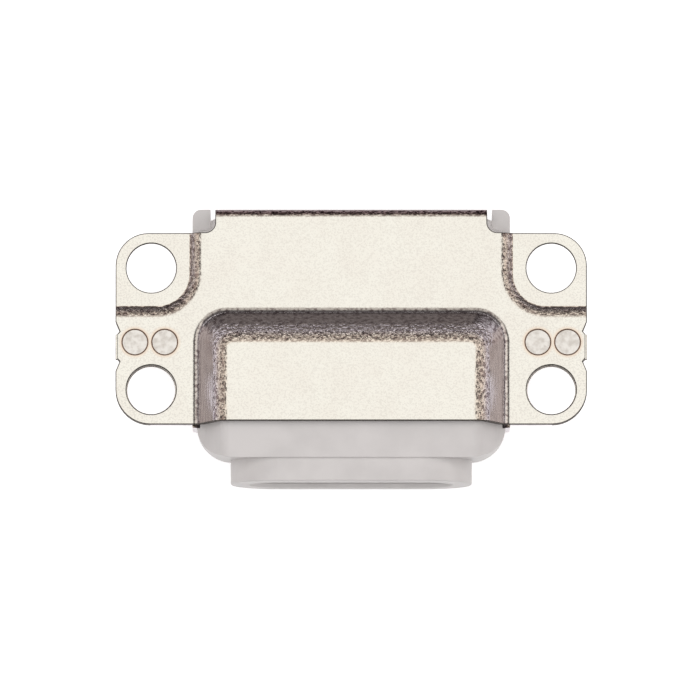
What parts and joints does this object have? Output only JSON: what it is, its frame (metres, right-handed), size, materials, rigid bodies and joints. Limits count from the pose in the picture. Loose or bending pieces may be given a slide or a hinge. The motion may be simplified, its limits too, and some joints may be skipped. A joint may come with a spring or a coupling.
{
  "type": "tablet charging socket",
  "caption": "Flanged charging socket: a drawn metal cover with screw ears over a grey moulding with an oblong plug opening, spring contacts and rear solder tails.",
  "frame": {"origin": "centre of the four screw holes on the plane where the ears seat, which is also the middle plane of the plug", "axes": "+X along the length of the ears, +Y towards the rear and the solder tails, +Z towards the raised box of the cover"},
  "size_m": [0.0164, 0.0098, 0.004],
  "materials": {
    "plated_sheet": "warm nickel plating on drawn stainless sheet, fine satin grain",
    "grey_moulding": "fine matt moulded liquid-crystal polymer",
    "dark_moulding": "matt moulded liquid-crystal polymer",
    "gold_contact": "gold over nickel on stamped copper alloy",
    "spring_steel": "bright rolled stainless strip"
  },
  "bodies": {
    "root": {"cover_shell": "plated_sheet", "base_shell": "plated_sheet", "housing": "grey_moulding", "contact_carrier": "dark_moulding", "signal_contact_1": "gold_contact", "signal_contact_2": "gold_contact", "signal_contact_3": "gold_contact", "signal_contact_4": "gold_contact", "signal_contact_5": "gold_contact", "signal_contact_6": "gold_contact", "signal_contact_7": "gold_contact", "signal_contact_8": "gold_contact", "detect_contact_left": "gold_contact", "detect_contact_right": "gold_contact", "latch_spring_left": "spring_steel", "latch_spring_right": "spring_steel"}
  },
  "joints": []
}
